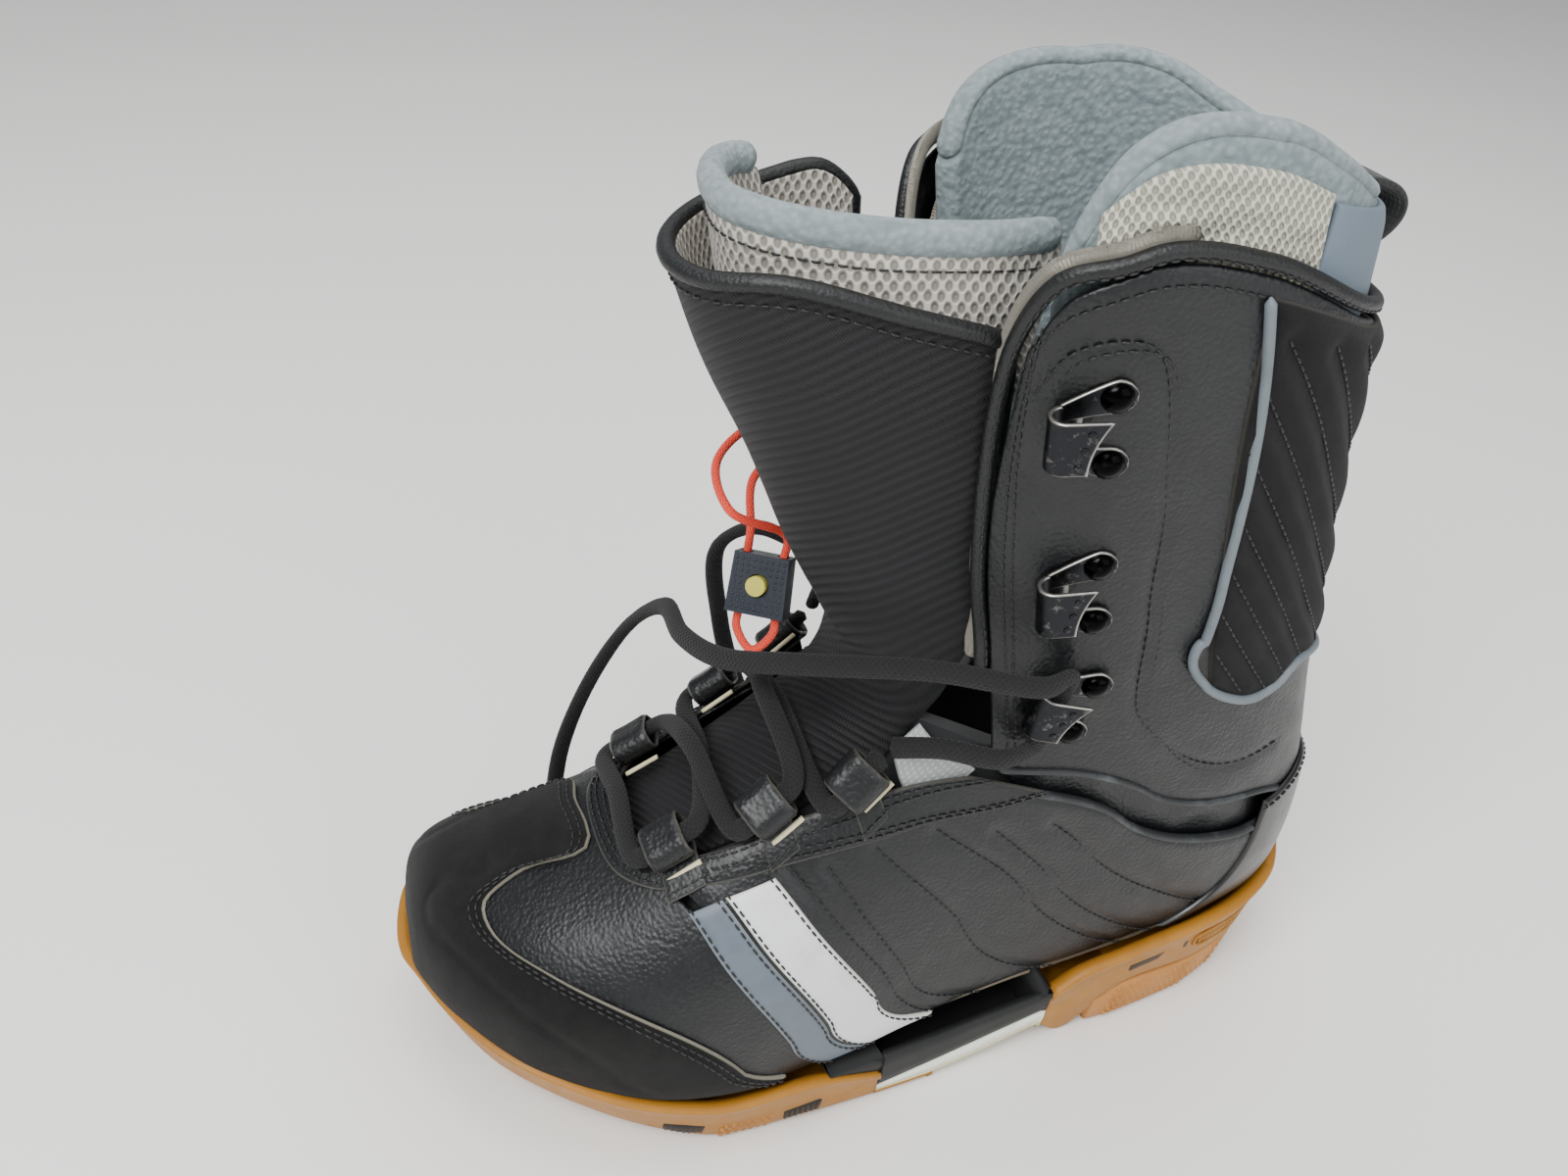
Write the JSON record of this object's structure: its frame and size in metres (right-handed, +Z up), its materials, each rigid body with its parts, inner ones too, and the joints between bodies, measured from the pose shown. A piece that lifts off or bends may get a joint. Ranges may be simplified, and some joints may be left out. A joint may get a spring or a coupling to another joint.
{
  "type": "snowboard boot",
  "caption": "Lace-up snowboard boot for the left foot: cup sole with heel block, leather upper and cuff, speed hooks, open tongue and a removable padded liner.",
  "frame": {"origin": "on the flat forefoot tread, on the boot's centre line behind the ball of the foot", "axes": "-Y to the toe, +Y to the heel, +X to the wearer's little-toe side (left boot), +Z up the shaft; the tread lies on z = 0"},
  "size_m": [0.187, 0.315, 0.3195],
  "materials": {
    "gum": "satin",
    "paleGum": "matt",
    "white": "matt",
    "foam": "matt",
    "board": "matt",
    "leather": "satin grained",
    "suede": "napped",
    "grey": "satin",
    "pale": "satin",
    "counter": "gloss",
    "nylon": "woven",
    "webbing": "woven",
    "lining": "knitted",
    "fleece": "brushed",
    "mesh": "knitted",
    "panelFoam": "smooth",
    "steel": "satin dark",
    "rivet": "gloss black",
    "lace": "braided",
    "cord": "braided",
    "lock": "satin",
    "button": "gloss",
    "aglet": "satin"
  },
  "bodies": {
    "boot": {"outsole_forefoot": "gum", "outsole_heel": "gum", "heel_tread_block": "paleGum", "midsole_band": "white", "midsole": "foam", "lasting_board": "board", "vamp": "leather", "toe_cap": "suede", "eyestay": "leather", "heel_counter": "counter", "tongue_lower": "nylon", "ankle_gusset": "leather", "liner_foot": "mesh", "footbed": "foam", "lace_threaded": "lace", "lace_end_lateral": "lace", "lace_end_medial": "lace", "quarter_lateral": "leather", "stripe_grey_lateral": "grey", "stripe_white_lateral": "pale", "ankle_tab_lateral": "webbing", "lace_loop_lateral_1": "leather", "lace_loop_lateral_2": "leather", "lace_loop_lateral_3": "leather", "aglet_lateral": "aglet", "quarter_medial": "leather", "stripe_grey_medial": "grey", "stripe_white_medial": "pale", "ankle_tab_medial": "webbing", "lace_loop_medial_1": "leather", "lace_loop_medial_2": "leather", "lace_loop_medial_3": "leather", "aglet_medial": "aglet"},
    "cuff": {"cuff_binding": "leather", "cuff_lining": "lining", "cuff_lateral": "leather", "hook_lateral_low": "steel", "rivets_lateral_low": "rivet", "hook_lateral_middle": "steel", "rivets_lateral_middle": "rivet", "hook_lateral_top": "steel", "rivets_lateral_top": "rivet", "cuff_medial": "leather", "hook_medial_low": "steel", "rivets_medial_low": "rivet", "hook_medial_middle": "steel", "rivets_medial_middle": "rivet", "hook_medial_top": "steel", "rivets_medial_top": "rivet", "back_panel": "suede", "liner_cuff": "fleece", "liner_back_panel": "panelFoam", "pull_loop": "nylon"},
    "tongue": {"tongue_upper": "nylon", "liner_tongue": "mesh", "liner_cord": "cord"},
    "cord_lock": {"cord_lock": "lock"},
    "lock_button": {"lock_button": "button"}
  },
  "joints": [
    {"name": "ankle_flex", "type": "hinge", "parent": "boot", "child": "cuff", "pos_m": [0, 0.085, 0.084], "axis": [1, 0, 0], "range_deg": [-4, 3], "deforming": ["lace_end_lateral"]},
    {"name": "tongue_fold", "type": "hinge", "parent": "boot", "child": "tongue", "pos_m": [0, -0.024, 0.156], "axis": [1, 0, 0], "range_deg": [0, 14]},
    {"name": "cord_lock_slide", "type": "slide", "parent": "tongue", "child": "cord_lock", "axis": [-0.3699, 0.2073, 0.9056], "range_m": [-0.004, 0.004], "deforming": ["liner_cord"]},
    {"name": "lock_button_press", "type": "slide", "parent": "cord_lock", "child": "lock_button", "axis": [-0.721, 0.5507, -0.4206], "range_m": [0, 0.002], "stiffness_N_per_m": 400}
  ]
}
